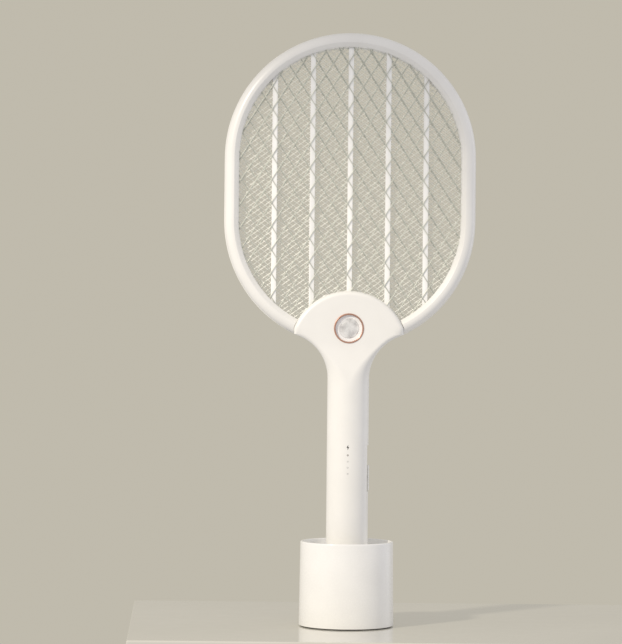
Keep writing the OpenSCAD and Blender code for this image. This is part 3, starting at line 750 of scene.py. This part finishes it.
cup = [(lens_r, -1.4), (lens_r - 0.4, -1.65), (8.5, -1.85), (8.5, -8.4), (9.4, -8.4), (9.6, -5.2),
       (lens_r - 0.2, -3.6)]
lamp_turn("lamp_reflector_cup", cup, REFLECTOR, "lamp_reflector")

disc = [(0, -1.5), (3, -1.55), (6.6, -1.8), (6.8, -1.9), (7.1, -1.8), (7.8, -1.7), (8.45, -1.85),
        (8.45, -4), (0, -4)]
lamp_turn("lamp_lens_disc", disc, DIFFUSER, "lamp_lens")

# ---- indicators and switch ----


def window(outline, paint):
    """A light guide's end, set just below the grip's face. It keeps the name that prism gives it."""
    piece = prism(outline, -GRIP_R + 0.12 * MM, -13 * MM)
    finish(piece, paint, "swatter", "indicator_pipe")


window(bolt_outline(1.0), MARK)
for index, z in enumerate(DOTS_Z):
    window(circle(0, z, DOT_R, 32), GREY_DOT if index else AMBER_DOT)

knob_low, knob_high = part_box("switch_knob")
KNOB_FACE = knob_high.x
KNOB_BACK = POCKET_X + 0.3 * MM
KNOB_HALF_W = knob_high.y
KNOB_Z = (knob_low.z + knob_high.z) / 2


def knob_profile():
    """The knob's grooved outer face seen from the front, as (x, z) points from its lower end.

    The first and the last point are the feet of its ends.
    """
    half = [(KNOB_FACE - 1.4 * MM, 0), (KNOB_FACE - 0.6 * MM, 0), (KNOB_FACE - 0.2 * MM, 0.2 * MM),
            (KNOB_FACE, 0.6 * MM)]
    groove = [(0, -0.45), (-0.3, -0.15), (-0.3, 0.15), (0, 0.45)]
    out = [(x, knob_low.z + rise) for x, rise in half]
    for i in range(-3, 4):
        out += [(KNOB_FACE + dx * MM, KNOB_Z + (2 * i + dz) * MM) for dx, dz in groove]
    return out + [(x, knob_high.z - rise) for x, rise in reversed(half)]


def knob():
    """Sweeps the grooved face round the grip's axis, so that it is curved as the grip is."""
    outline = knob_profile()
    n, steps = len(outline), 14
    spread = math.asin(KNOB_HALF_W / KNOB_FACE)
    points = []
    for i in range(steps + 1):
        a = mix(-spread, spread, i / steps)
        drop = 0.25 * MM if i in (0, steps) else 0
        for index, (x, z) in enumerate(outline):
            r = max(x - drop, KNOB_BACK + 0.05 * MM)
            face = max(r * math.cos(a), KNOB_BACK + 0.2 * MM)
            points.append((KNOB_BACK if index in (0, n - 1) else face, r * math.sin(a), z))
    ends = [tuple(range(n)), tuple(range(steps * n, steps * n + n))]
    body = mesh_object("switch_knob_piece", points, strips(steps + 1, n) + ends)
    stem = cuboid((14.35 * MM, -1.4 * MM, KNOB_Z - 2.5 * MM),
                  (KNOB_BACK + 0.2 * MM, 1.4 * MM, KNOB_Z + 2.5 * MM))
    return joined([body, stem], "switch_knob_piece")


finish(knob(), SHELL, "switch", "switch_knob", 50)

# ---- base ----


def base_radius(z, k):
    """The base's outer radius at height z, inset by k."""
    return mix(BASE_R, RIM_R, (z - FOOT_GAP) / (BASE_H - FOOT_GAP)) - k


def base_outline():
    """The base shell's section, as (radius, z) points.

    It has a fine edge at the foot, a drafted wall, a rounded rim and the two inner ledges that clamp
    the well and the bottom plate.
    """
    ledge_r, ledge_t = 35.6 * MM, 2 * MM
    well_z, plate_z = 54 * MM, 6.8 * MM
    corners = [(base_radius(FOOT_GAP, 0), FOOT_GAP), (base_radius(BASE_H, 0), BASE_H),
               (base_radius(BASE_H, BASE_WALL), BASE_H)]
    for z in (well_z, plate_z):
        wall = base_radius(z, BASE_WALL)
        corners += [(wall, z), (ledge_r, z), (ledge_r, z - ledge_t), (wall, z - ledge_t)]
    corners.append((base_radius(FOOT_GAP, BASE_WALL), FOOT_GAP))
    radii = [0.5 * MM, 0.95 * MM, 0.7 * MM] + [0] * 8 + [0.3 * MM]
    return rounded(corners, radii, 6)


usb_low, usb_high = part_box("usb_socket")
USB_Z = (usb_low.z + usb_high.z) / 2
USB_R = (usb_high.z - usb_low.z) / 2


def usb_opening(margin):
    """The charging inlet's outline, a slot with round ends, as (x, z) points."""
    r, reach = USB_R + margin, usb_high.x - USB_R
    right = arc(reach, USB_Z, r, -math.pi / 2, math.pi / 2, 16)
    return right + arc(-reach, USB_Z, r, math.pi / 2, 1.5 * math.pi, 16)


shell = lathe("base_shell_piece", base_outline(), Vector((0, 0, 0)), True, 192)
combine(shell, prism(usb_opening(0.5 * MM), 0.03, 0.05))
finish(shell, BASE_WHITE, "base", "base_shell", 40)

# ---- pieces that keep their CAD shape ----

# For each body, a node's material and the size of its rounded edges in mm
KEPT = {
    "swatter": {
        "frame_screws": (STEEL, 0.12), "ground_clip": (BRASS, 0.1), "hv_terminal": (BRASS, 0.1),
        "ground_lead": (BLACK_WIRE, 0), "hv_lead": (RED_WIRE, 0), "handle_screws": (STEEL, 0.12),
        "lamp_board": (BOARD, 0.1), "lamp_leds": (LED, 0.15), "lamp_screws": (STEEL, 0.1),
        "lamp_lead": (INNER, 0.1), "main_board": (BOARD, 0.1), "board_screws": (STEEL, 0.1),
        "hv_transformer": (TAPE, 0.3), "hv_capacitor": (DIPPED, 0.9), "hv_diodes": (BLACK, 0.2),
        "board_chips": (BLACK, 0.15), "indicator_leds": (LED, 0.1), "battery_cell": (CELL, 0.5),
        "battery_tabs": (STEEL, 0.1), "battery_leads": (RED_WIRE, 0), "charge_leads": (BLACK_WIRE, 0),
        "end_cap": (INNER, 0.3), "contact_pads": (BRASS, 0.15),
    },
    "switch": {"switch_carriage": (BLACK, 0.15), "switch_wiper": (BRASS, 0.05)},
    "base": {
        "base_well": (INNER, 0.35), "base_plate": (INNER, 0.3), "foot_ring": (RUBBER, 0.35),
        "ballast_ring": (IRON, 0.4), "charging_board": (BOARD, 0.1), "usb_socket": (STEEL, 0.1),
        "base_leads": (RED_WIRE, 0.1), "pin_barrels": (BRASS, 0.1), "base_screws": (STEEL, 0.12),
        "pin_spring_left": (STEEL, 0), "pin_spring_right": (STEEL, 0),
    },
    "left_pin": {"charging_pin_left": (BRASS, 0.12)},
    "right_pin": {"charging_pin_right": (BRASS, 0.12)},
}
for body, kept in KEPT.items():
    for node, (paint, edge) in kept.items():
        from_cad(node, body, paint, edge * MM)

# Each pin's spring piece gets a mesh of its own
for side in ("left", "right"):
    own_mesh(bpy.data.objects[f"pin_spring_{side}_piece"])

# ---- table, light and camera ----

TABLE_BACK = 200 * MM
TABLE_FRONT = -126 * MM
TABLE_FRONT_LEFT = -177.4 * MM
TABLE_BACK_LEFT = -192.3 * MM
TABLE_RIGHT = 1.0
TABLE_T = 22 * MM
plan = [(TABLE_FRONT_LEFT, TABLE_FRONT), (TABLE_RIGHT, TABLE_FRONT), (TABLE_RIGHT, TABLE_BACK),
        (TABLE_BACK_LEFT, TABLE_BACK)]
table = mesh_object("table_top", [(x, y, z) for z in (-TABLE_T, 0) for x, y in plan], bar_faces(4))
soft_edge = table.modifiers.new("edge", "BEVEL")
soft_edge.width = 1.5 * MM
soft_edge.segments = 3
LACQUER = material("pale_lacquer", (0.60, 0.585, 0.52), (0.64, 0.625, 0.56), (0.05, 0.09), 60,
                   (0.02, 0.0001), patch=4, Coat_Weight=0.2, Coat_Roughness=0.05)
table.data.materials.append(LACQUER)


def aimed(place, target):
    """The turn and place of a light or camera that looks from a place at a target."""
    turn = (target - place).to_track_quat("-Z", "Y").to_matrix().to_4x4()
    return Matrix.Translation(place) @ turn


VIEW_X = -32 * MM
VIEW_DISTANCE = 2.271
CAMERA_TILT = math.radians(0.555)
target = Vector((VIEW_X, 0, 256.5 * MM))
eye = Vector((VIEW_X, -VIEW_DISTANCE, 244.6 * MM))
optics = bpy.data.cameras.new("camera")
optics.lens = 150
optics.sensor_width = 36
camera = bpy.data.objects.new("camera", optics)
bpy.context.scene.collection.objects.link(camera)
camera.matrix_world = aimed(eye, target) @ Matrix.Rotation(CAMERA_TILT, 4, "Z")
bpy.context.scene.camera = camera


def lamp_at(light, place, target, power, colour):
    """Puts a light into the scene, turned towards a target."""
    light.energy = power
    light.color = colour
    made = bpy.data.objects.new(light.name, light)
    bpy.context.scene.collection.objects.link(made)
    made.matrix_world = aimed(place, target)


def softbox(name, place, size, power, colour):
    """A square area light that looks at the middle of the object."""
    light = bpy.data.lights.new(name, "AREA")
    light.size = size
    lamp_at(light, Vector(place), Vector((0, 0, 0.25)), power, colour)


# The key's cone is narrow, so that its soft edge leaves the top of the head in half shade
KEY_TURN, KEY_RISE, KEY_AWAY = math.radians(41), math.radians(33), 2.3
KEY_AIM = Vector((-60 * MM, 0, 100 * MM))
toward_key = Vector((-math.sin(KEY_TURN) * math.cos(KEY_RISE), -math.cos(KEY_TURN) * math.cos(KEY_RISE),
                     math.sin(KEY_RISE)))
spot = bpy.data.lights.new("key", "SPOT")
spot.shadow_soft_size = 0.09
spot.spot_size = math.radians(19.5)
spot.spot_blend = 0.6
lamp_at(spot, KEY_AIM + toward_key * KEY_AWAY, KEY_AIM, 142, (1.0, 0.915, 0.78))
softbox("rim", (1.9, 0.7, 0.6), 1.6, 5.6, (0.95, 0.94, 1.0))
softbox("fill", (1.7, -0.9, 0.7), 1.2, 2.2, (0.90, 0.92, 1.0))

# The camera and mirrors see the wall's tone, and everything else is lit by a cooler ambient light
world = bpy.data.worlds.new("studio")
bpy.context.scene.world = world
world.use_nodes = True
sky = world.node_tree
sky.nodes.clear()
ray = sky.nodes.new("ShaderNodeLightPath")
ambient = node_of(sky, "ShaderNodeBackground", Color=(0.60, 0.593, 0.625, 1), Strength=1.0)
wall = node_of(sky, "ShaderNodeBackground", Color=(0.527, 0.495, 0.416, 1), Strength=1.0)
pick = sky.nodes.new("ShaderNodeMixShader")
seen = node_of(sky, "ShaderNodeMath")
seen.operation = "MAXIMUM"
sky.links.new(ray.outputs["Is Camera Ray"], seen.inputs[0])
sky.links.new(ray.outputs["Is Glossy Ray"], seen.inputs[1])
sky.links.new(seen.outputs[0], pick.inputs[0])
sky.links.new(ambient.outputs[0], pick.inputs[1])
sky.links.new(wall.outputs[0], pick.inputs[2])
sky.links.new(pick.outputs[0], node_of(sky, "ShaderNodeOutputWorld").inputs["Surface"])
bpy.context.scene.view_settings.view_transform = "Standard"
